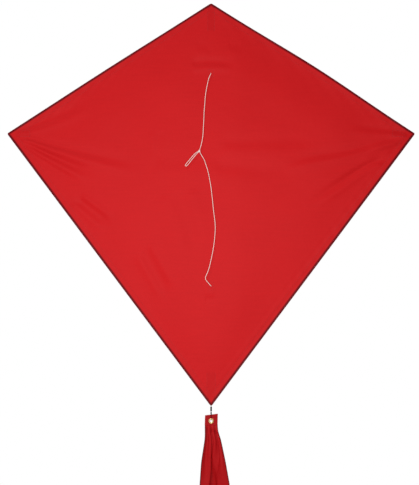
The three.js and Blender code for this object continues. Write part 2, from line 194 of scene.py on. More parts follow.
def floor():
    bm = bmesh.new()
    bmesh.ops.create_circle(bm, cap_ends=True, segments=96, radius=6.5)
    bmesh.ops.translate(bm, vec=(0, 0, cad_low.z - FLOOR_GAP), verts=bm.verts)
    mesh = bpy.data.meshes.new("floor")
    bm.to_mesh(mesh)
    bm.free()
    made = bpy.data.objects.new("floor", mesh)
    bpy.context.collection.objects.link(made)
    made.data.materials.append(floor_paint())


# --- materials ---------------------------------------------------------------------------------

WAVE_PERIOD = math.pi / 10  # length of one band of a Wave Texture at scale 1
# A Mix node of two colours: its settings, and its sockets, which share their names.
COLOURS = {"data_type": "RGBA"}
FIRST, SECOND = 6, 7
MIXED = 2


def surface(name, uv_map=None):
    """Starts a material. Returns a function that adds a node to it, the place of each point on the
    piece or on its UV map, and a function that ends it with its surface shader's inputs."""
    material = bpy.data.materials.new(name)
    material.use_nodes = True
    material.node_tree.nodes.clear()
    add = partial(node, material.node_tree)
    place = add("UVMap", uv_map=uv_map) if uv_map else add("TexCoord").outputs["Object"]

    def finish(inputs):
        add("OutputMaterial", {"Surface": add("BsdfPrincipled", inputs)})
        return material

    return add, place, finish


def floor_paint():
    # Matt white studio floor, rolled on: faint mottling.
    add, place, finish = surface("matt_white_floor")
    mottle = add("TexNoise", {"Vector": place, "Scale": 3.0, "Detail": 3.0})
    colour = add("Mix", {0: mottle, FIRST: "E4E4E2", SECOND: "EDEDEB"}, **COLOURS).outputs[MIXED]
    return finish({"Base Color": colour, "Roughness": 0.85, "Emission Strength": 0.22})


def taffeta(name, light, dark, edge, pitch_mm, uv_map="flat"):
    # Plain-woven polyester taffeta, calendered: a crisp cloth with a soft sheen. The threads are
    # about 0.2 mm apart on the real cloth, and are drawn wider so that they show as a fine grain.
    add, place, finish = surface(name, uv_map)
    threads = {"Vector": place, "Scale": WAVE_PERIOD / (pitch_mm * MM)}
    warp = add("TexWave", threads, bands_direction="X").outputs["Fac"]
    weft = add("TexWave", threads, bands_direction="Y" if uv_map else "Z").outputs["Fac"]
    weave = add("Math", {0: warp, 1: weft}, operation="MULTIPLY")
    # Slubs: threads that are a little thicker or paler run a few centimetres along the weft.
    squeeze = add("Mapping", {"Vector": place, "Scale": (18, 260, 260)})
    slubs = add("TexNoise", {"Vector": squeeze, "Scale": 1.0, "Detail": 2.0})
    cloud = add("TexNoise", {"Vector": place, "Scale": 9.0, "Detail": 3.0})
    both = add("Math", {0: slubs, 1: cloud}, operation="ADD")
    mean = add("Math", {0: both, 1: 0.5}, operation="MULTIPLY")
    colour = add("Mix", {0: mean, FIRST: dark, SECOND: light}, **COLOURS).outputs[MIXED]
    if edge:
        # Attribute "layers" is 1 where the cloth is folded or backed, and 2 on the fold itself. The
        # darker colour it mixes in is painted shade: doubled cloth lets less light through, and the
        # edge colour is the painted shade of the rolled edge.
        layers = add("Attribute", attribute_name="layers").outputs["Fac"]
        doubled_cloth_shade = add("MapRange", {"Value": layers, "From Min": 0, "From Max": 1, "To Max": 0.7})
        colour = add("Mix", {0: doubled_cloth_shade, FIRST: colour, SECOND: dark}, **COLOURS).outputs[MIXED]
        fold = add("MapRange", {"Value": layers, "From Min": 1.1, "From Max": 2})
        colour = add("Mix", {0: fold, FIRST: colour, SECOND: edge}, **COLOURS).outputs[MIXED]
    crinkle = add("TexNoise", {"Vector": place, "Scale": 55.0, "Detail": 4.0})
    soft = add("Bump", {"Height": crinkle, "Strength": 0.35, "Distance": 0.0009})
    fine = add("Bump", {"Height": weave, "Strength": 0.5, "Distance": 0.00005, "Normal": soft})
    inputs = {"Base Color": colour, "Normal": fine, "Roughness": 0.55, "Specular IOR Level": 0.1}
    return finish(inputs | {"Sheen Weight": 0.02, "Sheen Roughness": 0.4, "Sheen Tint": light})


def rod_material(name, direction):
    # Pultruded fibreglass, dyed black: long fine lines along the rod, with a resin gloss.
    add, place, finish = surface(name)
    stretch = tuple(30 if axis == direction else 2600 for axis in "XYZ")
    lines = add("Mapping", {"Vector": place, "Scale": stretch})
    grain = add("TexNoise", {"Vector": lines, "Scale": 1.0, "Detail": 3.0})
    colour = add("Mix", {0: grain, FIRST: "131416", SECOND: "27282B"}, **COLOURS).outputs[MIXED]
    bump = add("Bump", {"Height": grain, "Strength": 0.4, "Distance": 0.00005})
    return finish({"Base Color": colour, "Normal": bump, "Roughness": 0.32})


def soft_vinyl():
    # Soft black PVC, injection moulded: satin, with the faint grain of a spark-eroded mould.
    add, place, finish = surface("moulded_black_vinyl")
    grain = add("TexNoise", {"Vector": place, "Scale": 2200.0, "Detail": 3.0})
    worn = add("TexNoise", {"Vector": place, "Scale": 120.0, "Detail": 2.0})
    colour = add("Mix", {0: worn, FIRST: "17181A", SECOND: "242528"}, **COLOURS).outputs[MIXED]
    gloss = add("MapRange", {"Value": worn, "To Min": 0.42, "To Max": 0.62})
    bump = add("Bump", {"Height": grain, "Strength": 0.3, "Distance": 0.00004})
    return finish({"Base Color": colour, "Normal": bump, "Roughness": gloss})


def cord_polyester():
    # Braided white polyester cord, a millimetre thick: short slanting strands, matt. Its colour is
    # darker in the gaps between strands, as painted shade, and tinted pink, as painted red light
    # bounced from the sail.
    add, place, finish = surface("braided_white_polyester")
    slant = add("Mapping", {"Vector": place, "Rotation": (0.6, 0, 0.6)})
    strand_mm = 0.9
    braid = {"Vector": slant, "Scale": WAVE_PERIOD / (strand_mm * MM), "Distortion": 1.5}
    strands = add("TexWave", braid, bands_direction="DIAGONAL").outputs["Fac"]
    colour = add("Mix", {0: strands, FIRST: "E0C8C0", SECOND: "F8E8E2"}, **COLOURS).outputs[MIXED]
    bump = add("Bump", {"Height": strands, "Strength": 0.6, "Distance": 0.00008})
    return finish({"Base Color": colour, "Normal": bump, "Roughness": 0.75, "Sheen Weight": 0.2})


def sewing_thread():
    # Spun polyester sewing thread, dyed to match the cloth and a little deeper in colour.
    add, place, finish = surface("dyed_sewing_thread")
    twist = add("TexNoise", {"Vector": place, "Scale": 1500.0, "Detail": 2.0})
    colour = add("Mix", {0: twist, FIRST: "A3161C", SECOND: "C0242A"}, **COLOURS).outputs[MIXED]
    return finish({"Base Color": colour, "Roughness": 0.7})


def plated_metal(name, dark, light, roughness):
    # Wire and sheet under a bright plate: a smooth metal with fine drawing lines and dull patches.
    add, place, finish = surface(name)
    tarnish = add("TexNoise", {"Vector": place, "Scale": 260.0, "Detail": 3.0})
    colour = add("Mix", {0: tarnish, FIRST: dark, SECOND: light}, **COLOURS).outputs[MIXED]
    patches_of = {"Value": tarnish, "To Min": roughness * 0.7, "To Max": roughness * 1.5}
    dulled = add("MapRange", patches_of)
    drawn = add("Mapping", {"Vector": place, "Scale": (4000, 4000, 200)})
    lines = add("TexNoise", {"Vector": drawn, "Scale": 1.0, "Detail": 1.0})
    bump = add("Bump", {"Height": lines, "Strength": 0.15, "Distance": 0.00002})
    return finish({"Base Color": colour, "Normal": bump, "Roughness": dulled, "Metallic": 1.0})


# Each finish is a material and the slot of the record that it belongs to.
# The third colour of each sail and tail cloth is painted shade for its rolled edge. The doubled cloths
# are drawn darker as painted shade, for the light that passes less through two layers.
SAIL_CLOTH = taffeta("red_sail_taffeta", "C41418", "B61115", "640008", 1.1), "sail_taffeta"
POCKET_CLOTH = taffeta("doubled_red_taffeta", "AE1C22", "9A171D", None, 0.9, None), "pocket_cloth"
TAIL_CLOTH = taffeta("red_tail_taffeta", "B31015", "9C0C10", "5A0006", 1.1), "tail_taffeta"
HEADER_CLOTH = taffeta("doubled_tail_taffeta", "A80E13", "940B10", None, 0.9, None), "tail_taffeta"
ROD_ALONG_Z = rod_material("pultruded_fibreglass_upright", "Z"), "fibreglass_rod"
ROD_ALONG_X = rod_material("pultruded_fibreglass_crosswise", "X"), "fibreglass_rod"
VINYL = soft_vinyl(), "soft_vinyl"
CORD = cord_polyester(), "bridle_cord"
SAIL_THREAD = sewing_thread(), "sail_taffeta"
POCKET_THREAD = SAIL_THREAD[0], "pocket_cloth"
BLACK_NICKEL = plated_metal("black_nickel_plate", "0B0B0C", "151517", 0.42), "black_nickel"
BRASS = plated_metal("pressed_brass", "C8A266", "E6CC94", 0.26), "brass"

# --- making pieces -----------------------------------------------------------------------------


def finished(bm, name, finish, body=None, *replaced):
    """Makes a mesh in millimetres into a piece in metres, which stands for the replaced nodes.
    With no body, it is left unattached."""
    material, slot = finish
    bmesh.ops.scale(bm, vec=(MM, MM, MM), verts=bm.verts)
    mesh = bpy.data.meshes.new(name)
    bm.to_mesh(mesh)
    bm.free()
    mesh.polygons.foreach_set("use_smooth", [True] * len(mesh.polygons))
    made = bpy.data.objects.new(name, mesh)
    bpy.context.collection.objects.link(made)
    mesh.materials.append(material)
    if replaced:
        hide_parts(*replaced)
    if body:
        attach(made, body)
    return made


def thicken(made, thickness_mm, worn=0.0, worn_steps=2):
    """Gives a sheet its thickness, with a sharp rim so that its faces shade as flat cloth. Worn is
    how far its edges are then rounded."""
    mesh = made.data
    edge_of = np.zeros(len(mesh.loops), int)
    mesh.loops.foreach_get("edge_index", edge_of)
    uses = np.bincount(edge_of, minlength=len(mesh.edges))
    mesh.edges.foreach_set("use_edge_sharp", uses == 1)
    wall = made.modifiers.new("cloth_thickness", "SOLIDIFY")
    wall.thickness = thickness_mm * MM
    wall.offset = 0.0
    wall.use_even_offset = False
    if worn:
        rim = made.modifiers.new("worn_edges", "BEVEL")
        rim.width = worn * MM
        rim.segments = worn_steps


def soften(bm, width):
    """Rounds the edges of a mesh that turn sharply."""
    least = math.radians(35)
    joined = [e for e in bm.edges if len(e.link_faces) == 2]
    bmesh.ops.bevel(
        bm,
        geom=[e for e in joined if e.calc_face_angle() > least],
        offset=width,
        segments=2,
        profile=0.5,
        affect="EDGES",
        material=-1,
        clamp_overlap=True,
    )


def turned(profile, segments=32, closed=False):
    """A bmesh turned about Z from (radius, height) points."""
    bm = bmesh.new()
    points = [bm.verts.new((radius, 0, height)) for radius, height in profile]
    pairs = list(zip(points, points[1:]))
    if closed:
        pairs.append((points[-1], points[0]))
    edges = [bm.edges.new(pair) for pair in pairs]
    bmesh.ops.spin(
        bm,
        geom=points + edges,
        axis=(0, 0, 1),
        cent=(0, 0, 0),
        angle=2 * math.pi,
        steps=segments,
        use_merge=True,
    )
    bmesh.ops.remove_doubles(bm, verts=bm.verts, dist=1e-3)
    bmesh.ops.recalc_face_normals(bm, faces=bm.faces)
    return bm


def smooth_cord(name, points, radius, roundness=3, closed=False):
    """A curve object: a round cord or wire along a smooth line through some points."""
    data = bpy.data.curves.new(name, "CURVE")
    data.dimensions = "3D"
    data.bevel_depth = radius
    data.bevel_resolution = roundness
    data.use_fill_caps = True
    spline = data.splines.new("BEZIER")
    spline.bezier_points.add(len(points) - 1)
    spline.use_cyclic_u = closed
    spline.resolution_u = 6
    for knot, place in zip(spline.bezier_points, points):
        knot.co = place
        knot.handle_left_type = knot.handle_right_type = "AUTO"
    line = bpy.data.objects.new(name, data)
    bpy.context.collection.objects.link(line)
    return line


def swept(points, radius, closed=False):
    """A bmesh tube along a smooth line through some points."""
    line = smooth_cord("swept", points, radius, closed=closed)
    depsgraph = bpy.context.evaluated_depsgraph_get()
    mesh = bpy.data.meshes.new_from_object(line.evaluated_get(depsgraph))
    bm = bmesh.new()
    bm.from_mesh(mesh)
    bmesh.ops.remove_doubles(bm, verts=bm.verts, dist=1e-4)
    bmesh.ops.recalc_face_normals(bm, faces=bm.faces)
    data = line.data
    bpy.data.objects.remove(line)
    bpy.data.curves.remove(data)
    bpy.data.meshes.remove(mesh)
    return bm


def join_into(target, source):
    """Adds one bmesh to another."""
    mesh = bpy.data.meshes.new("joined")
    source.to_mesh(mesh)
    source.free()
    target.from_mesh(mesh)
    bpy.data.meshes.remove(mesh)
    return target


def moved(bm, matrix):
    bmesh.ops.transform(bm, matrix=matrix, verts=bm.verts)
    return bm


def along_wing(side, out=0.0):
    """Where a piece that stands along +Z points out along a wing, which leans back from the fold
    line, at a distance out along it."""
    lean = Matrix.Rotation(side * DIHEDRAL, 4, "Z") @ Matrix.Rotation(side * math.pi / 2, 4, "Y")
    return at(side * HINGE.x, SPAR_Y, 0) @ lean @ at(0, 0, out)


SIDES = {1: "right", -1: "left"}

# --- the bridle --------------------------------------------------------------------------------

CORD_R = 0.5
UPPER_TIE_Z = 111
LOWER_TIE_Z = -285
KNOT_AT = Vector((-22, -16.4, -34))
# From the turns round the spine, through the sail, down to the knot and on to the lower tie.
BRIDLE_ROUTE = [
    (0, -10.1, UPPER_TIE_Z), (0, -12, UPPER_TIE_Z), (-0.1, -13.2, UPPER_TIE_Z - 0.1),
    (-0.5, -14.8, UPPER_TIE_Z - 1), (-1.2, -15.4, UPPER_TIE_Z - 2.8), (-2.6, -15.4, 105.2),
    (-5.2, -15.1, 98), (-7.1, -15, 89), (-8.9, -15, 80), (-10.8, -15, 67), (-11.7, -15, 54),
    (-13, -15, 39), (-13.6, -15, 24), (-14.5, -15.1, 9), (-15.4, -15.3, -6), (-17.3, -15.6, -17),
    (-19.2, -15.9, -25), (-21.1, -16.2, -31.8), (-20.9, -16.3, -36), (-19.2, -16, -39.4),
    (-16.4, -15.7, -44.2), (-12.6, -15.3, -51), (-9.5, -15, -60), (-6.1, -15, -71),
    (-3.3, -15, -84), (-0.6, -15, -99), (1.3, -15, -114), (3.2, -15, -132), (5, -15.1, -149),
    (7.2, -15.2, -166), (7.6, -15.2, -181), (6.5, -15.2, -196), (4.7, -15.3, -211),
    (2.2, -15.6, -225), (-0.6, -16, -238), (-3.4, -16.6, -250), (-6.8, -17, -260),
    (-9.6, -17.2, -266.4), (-10.6, -17.2, -270.4), (-8.9, -17, -274.6), (-5.2, -16.8, -279),
    (-1.8, -16.2, -283), (-0.4, -14.9, -284.7), (-0.05, -13.3, LOWER_TIE_Z), (0, -12, LOWER_TIE_Z),
    (0, -10.1, LOWER_TIE_Z),
]
LOOP_ROUTE = [
    (-22.6, -16.4, -34.4), (-23.9, -16.3, -34.9), (-27.2, -16.1, -36.6), (-34.4, -15.6, -43.3),
    (-41.2, -15.2, -51.6), (-46.4, -15, -57.9), (-47.9, -15, -60.6), (-46.4, -15, -62),
    (-44, -15, -60.2), (-38.6, -15.2, -53.6), (-32.4, -15.6, -45.8), (-26.4, -16.1, -38.8),
    (-23.5, -16.3, -36), (-22.4, -16.4, -35),
]


def bridle_line():
    route = [Vector(place) * MM for place in BRIDLE_ROUTE]
    line = smooth_cord("bridle_line", route, CORD_R * MM, roundness=4)
    material, slot = CORD
    line.data.materials.append(material)
    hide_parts("upper_bridle_leg", "lower_bridle_leg")
    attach(line, "frame")
    return line


def tow_knot():
    """An overhand knot: the cord goes twice round a small ring, and weaves in and out three times."""
    ring_r = 1.05
    weave_r = 0.5
    points = []
    for turn in turns(42)[:-1]:
        reach = ring_r + weave_r * math.cos(3 * turn)
        x, z = reach * math.cos(2 * turn), reach * math.sin(2 * turn)
        points.append(KNOT_AT + Vector((x, weave_r * math.sin(3 * turn), z)))
    return finished(swept(points, CORD_R, closed=True), "bridle_knot", CORD, "frame", "tow_knot")


def tow_loop():
    return finished(swept(LOOP_ROUTE, CORD_R), "bridle_tow_loop", CORD, "frame", "tow_loop")


def hitch(which, z):
    """Three turns of the cord round the spine, one above the other."""
    rounds = 3
    steps = 16
    radius = ROD_R + CORD_R + 0.05
    points = []
    for i in range(rounds * steps + 1):
        turn = 2 * math.pi * i / steps - math.pi / 2
        rise = (i / steps - rounds / 2) * 2.05 * CORD_R
        points.append((radius * math.cos(turn), SPAR_Y + radius * math.sin(turn), z + rise))
    finished(swept(points, CORD_R), which + "_spine_hitch", CORD, "frame", which + "_hitch")


def bridle():
    line = bridle_line()
    on_it = [tow_knot(), tow_loop()]
    hitch("upper", UPPER_TIE_Z)
    hitch("lower", LOWER_TIE_Z)
    [c * MM for c in BRIDLE_ROUTE[0]]


# --- how the sail lies -------------------------------------------------------------------------

LEAD_SLOPE = NOSE_Z / TIP_X
TRAIL_SLOPE = FOOT_Z / TIP_X
# Creases of the cloth: how far it falls back across each, in millimetres, from below to above;
# its width at the first and last point; and its line as (x, z).
CREASES = [
    # right wing: a hard crease into the tip, and softer ones that fan out from it
    (-1.3, 5, 9, [(374, -7), (332, -26), (289, -38)]),
    (1.4, 5, 9, [(356, -10), (327, -17), (258, -37), (177, -52), (110, -72)]),
    (-0.8, 5, 8, [(344, -36), (290, -56), (240, -86), (205, -106)]),
    (1.4, 5, 7, [(326, -50), (290, -65), (227, -108), (178, -138)]),
    (0.8, 4, 8, [(372, -1), (323, 3), (249, 10)]),
    (0.6, 9, 12, [(12, -24), (171, -24), (215, -30)]),
    (-0.7, 12, 12, [(6, -52), (90, -57), (180, -60)]),
    # left wing
    (0.9, 5, 9, [(-369, 1), (-337, 8), (-272, 32), (-220, 60)]),
    (1.7, 4, 10, [(-368, -4), (-337, -14), (-230, -44), (-123, -70)]),
    (-0.9, 4, 7, [(-360, -10), (-300, -36), (-206, -72)]),
    (1.2, 4, 7, [(-354, -16), (-300, -46), (-216, -88)]),
    (-0.7, 4, 7, [(-346, -26), (-290, -62), (-232, -96)]),
    (-1.0, 5, 6, [(-246, -118), (-180, -166)]),
    (1.0, 6, 7, [(-258, -126), (-190, -182)]),
    (-0.4, 6, 6, [(-103, 4), (-103, -66)]),
    (0.7, 14, 14, [(-80, -110), (-58, -175), (-35, -240)]),
    (-0.7, 12, 12, [(-50, -106), (-30, -175), (-26, -230)]),
    (1.0, 7, 7, [(-134, -222), (-108, -268), (-84, -314)]),
    (-0.7, 7, 7, [(-120, -206), (-92, -256), (-68, -300)]),
    # middle: the pull of the two ties, and light puckers beside the nose pocket
    (1.1, 6, 6, [(-38, 124), (0, 127), (46, 124)]),
    (0.4, 8, 8, [(-28, 156), (-2, 156)]),
    (0.4, 8, 8, [(32, 156), (58, 156)]),
    (-0.6, 6, 6, [(-12, -304), (10, -304)]),
    (0.4, 14, 14, [(-120, -60), (0, -64), (110, -74)]),
]
CREASE_PEAK = math.exp(0.5)  # makes the highest point of a crease equal its fall
CURL_DEPTH = 1.5  # how far the hemmed edge rolls forwards
CURL_WIDTH = 9.0
BULGE = {1: 5.0, -1: 1.2}  # how far each leading edge bows outwards


def smooth_line(points, steps=6):
    """A Catmull-Rom line through some points."""
    known = [np.array(p, float) for p in points]
    padded = [2 * known[0] - known[1], *known, 2 * known[-1] - known[-2]]
    line = []
    for a, b, c, d in zip(padded, padded[1:], padded[2:], padded[3:]):
        for t in np.arange(steps) / steps:
            bend = 2 * a - 5 * b + 4 * c - d
            line.append(0.5 * (2 * b + (c - a) * t + bend * t**2 + (3 * b - a - 3 * c + d) * t**3))
    return line + [known[-1]]


def crease_height(x, z, fall, first_width, last_width, points):
    """Height of one crease at each point: up on one side of its line and down on the other."""
    line = smooth_line(points)
    lengths = [float(np.linalg.norm(b - a)) for a, b in zip(line, line[1:])]
    total = sum(lengths)
    nearest = np.full(x.shape, 1e9)
    signed = np.zeros(x.shape)
    share = np.zeros(x.shape)
    covered = 0.0
    for start, end, length in zip(line, line[1:], lengths):
        way = (end - start) / length
        up = np.array([-way[1], way[0]])
        up = up if up[1] > 0 else -up
        dx = x - start[0]
        dz = z - start[1]
        along = np.clip(dx * way[0] + dz * way[1], 0, length)
        off_x = dx - along * way[0]
        off_z = dz - along * way[1]
        distance = np.hypot(off_x, off_z)
        closer = distance < nearest
        nearest = np.where(closer, distance, nearest)
        signed = np.where(closer, np.sign(off_x * up[0] + off_z * up[1]) * distance, signed)
        share = np.where(closer, (covered + along) / total, share)
        covered += length
    width = first_width + (last_width - first_width) * share
    fade = smoothstep(share / 0.12) * smoothstep((1 - share) / 0.35)
    across = signed / width
    return -fall * fade * CREASE_PEAK * across * np.exp(-across * across / 2)


def edge_distance(x, z):
    """How far inside the sail's edge each point is."""
    away = np.abs(x)
    lead = (NOSE_Z - away * LEAD_SLOPE - z) / math.hypot(1, LEAD_SLOPE)
    trail = (z - FOOT_Z + away * TRAIL_SLOPE) / math.hypot(1, TRAIL_SLOPE)
    return np.minimum(lead, trail)


def relief(x, z):
    """How far the cloth stands in front of its flat lie."""
    height = np.zeros(x.shape)
    for fall, first_width, last_width, points in CREASES:
        height += crease_height(x, z, fall, first_width, last_width, points)
    inside = edge_distance(x, z)
    height += CURL_DEPTH * np.exp(-np.maximum(inside, 0) / CURL_WIDTH)
    # slack in each panel, and the fine puckers that stitching leaves along a hem
    height += 2.2 * smoothstep(inside / 90) * smoothstep(np.abs(x) / 60)
    puckers = np.sin(x * 0.21 + z * 0.13) + np.sin(x * 0.37 - z * 0.29 + 1.3)
    height += 0.16 * puckers * np.exp(-(((inside - 10) / 12) ** 2))
    ripple = np.sin(x * 0.045 + z * 0.02) * np.sin(z * 0.036 - x * 0.011 + 0.8)
    height += 0.35 * ripple * smoothstep(inside / 40)
    floor_height = -1.5
    return np.where(height < floor_height, floor_height + 0.2 * (height - floor_height), height)


def sail_y(x, z):
    """Depth of the middle of the cloth: flat over the spine, then leaning back with each wing."""
    turn = 6.0
    past = np.abs(x) - HINGE.x
    lean = math.tan(DIHEDRAL) * (np.sqrt(past * past + turn * turn) + past) / 2
    calm = smoothstep((TIP_X - np.abs(x)) / 26)
    return CLOTH_Y + lean - relief(x, z) * calm


def edge_bow(x):
    """How far a leading edge stands above a straight line, as it stretches in use."""
    share = np.clip(np.abs(x) / TIP_X, 0, 1)
    bow = np.where(x > 0, BULGE[1], BULGE[-1])
    return bow * np.sin(math.pi * share) ** 2 * smoothstep((share + 0.4))


def place_on_sail(bm, behind=0.0):
    """Moves a mesh whose X and Z lie flat on the sail to the depth of the cloth there."""
    flat = np.array([v.co for v in bm.verts], float)
    depth = sail_y(flat[:, 0], flat[:, 2]) + behind + flat[:, 1]
    for vert, y in zip(bm.verts, depth):
        vert.co.y = y


def face_front(bm):
    """Turns the faces of an open sheet so that most of them look to the front."""
    if sum(f.normal.y * f.calc_area() for f in bm.faces) > 0:
        bmesh.ops.reverse_faces(bm, faces=bm.faces)


def flat_map(bm):
    """Keeps where each point of a sheet lay when flat, as UVs in metres."""
    layer = bm.loops.layers.uv.new("flat")
    for face in bm.faces:
        for loop in face.loops:
            loop[layer].uv = (loop.vert.co.x * MM, loop.vert.co.z * MM)


SAIL_COLUMNS = 168  # the same for the cloth and its hem
NEAR_STEP = 0.55  # width of a column at the spine, as a share of the mean


def half_grid(side, columns, rows, top, bottom):
    """A sheet from the spine to a wing tip between two heights, which are functions of x.
    Its columns are narrower near the spine, where the wing folds."""
    bm = bmesh.new()
    bmesh.ops.create_grid(bm, x_segments=columns, y_segments=rows, size=0.5)
    for vert in bm.verts:
        across = vert.co.x + 0.5
        x = side * TIP_X * (NEAR_STEP * across + (1 - NEAR_STEP) * across * across)
        share = vert.co.y + 0.5
        vert.co = Vector((x, 0, bottom(x) + (top(x) - bottom(x)) * share))
    bmesh.ops.remove_doubles(bm, verts=bm.verts, dist=0.02)
    return bm


BLUNT = 1.5  # half width of the nose and foot
TIP_HALF = 2.2  # half height of a wing tip, which is folded over


def tip_round(x):
    """Half height of the rounded end of a wing tip."""
    left = max(TIP_X - abs(x), 0)
    return TIP_HALF * math.sqrt(max(0.0, 1 - max(0.0, 1 - left / TIP_HALF) ** 2))


def lead_z(x):
    straight = min(NOSE_Z, NOSE_Z - (abs(x) - BLUNT) * LEAD_SLOPE)
    return max(straight + float(edge_bow(np.array(x))), tip_round(x))


def trail_z(x):
    straight = max(FOOT_Z, FOOT_Z - (abs(x) - BLUNT) * TRAIL_SLOPE)
    return min(straight, -tip_round(x))


def mark_layer_shade(made, layers):
    """Says at each point of a cloth how many layers of it lie there, which its colour darkens as
    painted shade.
    """
    attribute = made.data.attributes.new("layers", "FLOAT", "POINT")
    attribute.data.foreach_set("value", np.array(layers, np.float32))


def fold_with_wing(made, side):
    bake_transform(made)


NOSE_POCKET = box_mm("nose_pocket")
FOOT_POCKET = box_mm("foot_pocket")
TIP_POCKET = box_mm("right_tip_pocket")


def backed(x, z):
    """1 where a pocket or patch lies behind the cloth, and 0 elsewhere."""
    inside = np.zeros(x.shape)
    for low, high in (NOSE_POCKET, FOOT_POCKET, TIP_POCKET):
        near_x = smoothstep((high.x - np.abs(x)) / 2) * (np.abs(x) >= max(low.x, 0) - 1)
        near_z = smoothstep((z - low.z) / 2) * smoothstep((high.z - z) / 2)
        inside = np.maximum(inside, near_x * near_z)
    return inside


def half_sail(side):
    rows = 216
    bm = half_grid(side, SAIL_COLUMNS, rows, lead_z, trail_z)
    flat_map(bm)
    flat = np.array([v.co for v in bm.verts], float)
    inside = edge_distance(flat[:, 0], flat[:, 2] - edge_bow(flat[:, 0]) * (flat[:, 2] > 0))
    # Painted shade: the hem band and the cloth over a pocket or patch darken as doubled cloth that
    # lets less light through, and the outer few millimetres darken most as the shade of the rolled
    # edge.
    hem = 0.25 * smoothstep((HEM + 1.5 - inside) / 3)
    fold = smoothstep((5.4 - inside) / 3.4)
    over = np.maximum(hem, backed(flat[:, 0], flat[:, 2]))
    layers = over + (2 - over) * fold
    place_on_sail(bm)
    face_front(bm)
    name = SIDES[side]
    made = finished(bm, name + "_sail_cloth", SAIL_CLOTH, None, name + "_sail", "sail_centre")
    mark_layer_shade(made, layers)
    thicken(made, CLOTH)
    fold_with_wing(made, side)
    return made


def hem_strips(side):
    """The two edges of a wing's sail, turned over to the back."""
    lead_run = HEM * math.hypot(1, LEAD_SLOPE)
    trail_run = HEM * math.hypot(1, TRAIL_SLOPE)

    def middle(x):
        return trail_z(x) + (lead_z(x) - trail_z(x)) * trail_run / (lead_run + trail_run)

    upper = half_grid(side, SAIL_COLUMNS, 6, lead_z, lambda x: max(lead_z(x) - lead_run, middle(x)))
    lower = half_grid(
        side, SAIL_COLUMNS, 6, lambda x: min(trail_z(x) + trail_run, middle(x)), trail_z
    )
    bm = join_into(upper, lower)
    flat_map(bm)
    flat = np.array([v.co for v in bm.verts], float)
    inside = edge_distance(flat[:, 0], flat[:, 2])
    place_on_sail(bm, behind=CLOTH + 0.06)
    face_front(bm)
    made = finished(bm, SIDES[side] + "_hem", SAIL_CLOTH)
    # Painted shade along the hem strip's rolled edge.
    mark_layer_shade(made, smoothstep(1 - inside / 4))
    thicken(made, CLOTH)
    fold_with_wing(made, side)
    return made


def add_stitches(bm, route, front=True, pitch=STITCH_PITCH):
    """Adds a stitch at each pitch along a line of (x, z) points."""
    points = [np.array(p, float) for p in route]
    gap_between = 0.7
    for start, end in zip(points, points[1:]):
        run = bmesh.new()
        length = float(np.linalg.norm(end - start))
        count = max(1, round(length / pitch))
        way = (end - start) / length
        turn = Matrix.Rotation(-math.atan2(way[1], way[0]), 4, "Y")
        size = Matrix.Diagonal(((length / count - gap_between) / 2, THREAD_R, THREAD_R * 1.3, 1))
        spots = np.array([start + (end - start) * (i + 0.5) / count for i in range(count)])
        depth = sail_y(spots[:, 0], spots[:, 1])
        lift = (CLOTH / 2 + 0.06) * (-1 if front else 1) + (0 if front else CLOTH + 0.1)
        for (x, z), y in zip(spots, depth):
            place = at(x, y + lift, z) @ turn @ size
            bmesh.ops.create_uvsphere(run, u_segments=6, v_segments=4, radius=1, matrix=place)
        join_into(bm, run)


def hem_line(side, edge_z, inwards, far_x):
    """The line that the stitching follows beside one edge."""
    xs = np.linspace(1.5, far_x, 12)
    return [(side * x, edge_z(side * x) + inwards) for x in xs]


def wing_stitching(side):
    bm = bmesh.new()
    lead_in = STITCH_IN * math.hypot(1, LEAD_SLOPE)
    trail_in = STITCH_IN * math.hypot(1, TRAIL_SLOPE)
    far_x = TIP_X * (1 - (lead_in + trail_in) / (NOSE_Z - FOOT_Z))
    routes = [
        hem_line(side, lead_z, -lead_in, far_x),
        hem_line(side, trail_z, trail_in, far_x),
    ]
    low, high = TIP_POCKET
    corner = high.z - 1.2
    outer = side * (high.x - 4)
    inner = side * (low.x + 1.5)
    routes.append([(outer, corner), (inner, corner), (inner, -corner), (outer, -corner)])
    for low, high in (NOSE_POCKET, FOOT_POCKET):
        seam_x = side * (high.x - 1.1)
        routes.append([(seam_x, low.z + 1), (seam_x, high.z - 2)])
    for route in routes:
        add_stitches(bm, route, front=True)
        add_stitches(bm, route, front=False)
    made = finished(bm, SIDES[side] + "_stitching", SAIL_THREAD)
    fold_with_wing(made, side)
    return made


def sail():
    for side, name in SIDES.items():
        cloth = half_sail(side)
        sewn_on = [hem_strips(side), wing_stitching(side)]


# --- rods, caps and the centre fitting ---------------------------------------------------------

BORE_R = 2.3
CAP_R = 3.0
CAP_LENGTH = 15.0
CAP_END = 2.0


def rod(length):
    """A rod along Z from 0 to its length, with slightly rounded ends."""
    end = 0.25
    profile = [(0, 0), (ROD_R - end, 0), (ROD_R, end)]
    profile += [(ROD_R, length - end), (ROD_R - end, length), (0, length)]
    return turned(profile, 28)


def rod_cap():
    """A moulded cap with its closed end at 0 and its mouth below, with a rolled lip and grip rings."""
    mouth = -CAP_LENGTH
    lip_r = CAP_R + 0.22
    dome = 2.0
    profile = [(0, -CAP_END), (BORE_R - 0.1, -CAP_END), (BORE_R, -CAP_END - 0.2)]
    profile += [(BORE_R, mouth + 0.3), (BORE_R + 0.15, mouth), (CAP_R + 0.05, mouth)]
    profile += [(lip_r, mouth + 0.35), (lip_r, mouth + 1.1), (CAP_R, mouth + 1.4)]
    for ring_z in (-9.0, -7.5, -6.0):
        profile += [(CAP_R, ring_z - 0.35), (CAP_R + 0.12, ring_z), (CAP_R, ring_z + 0.35)]
    for turn in turns(6, 0, math.pi / 2):
        profile.append((CAP_R - dome * (1 - math.cos(turn)), -dome * (1 - math.sin(turn))))
    return turned(profile + [(0, 0)], 32)


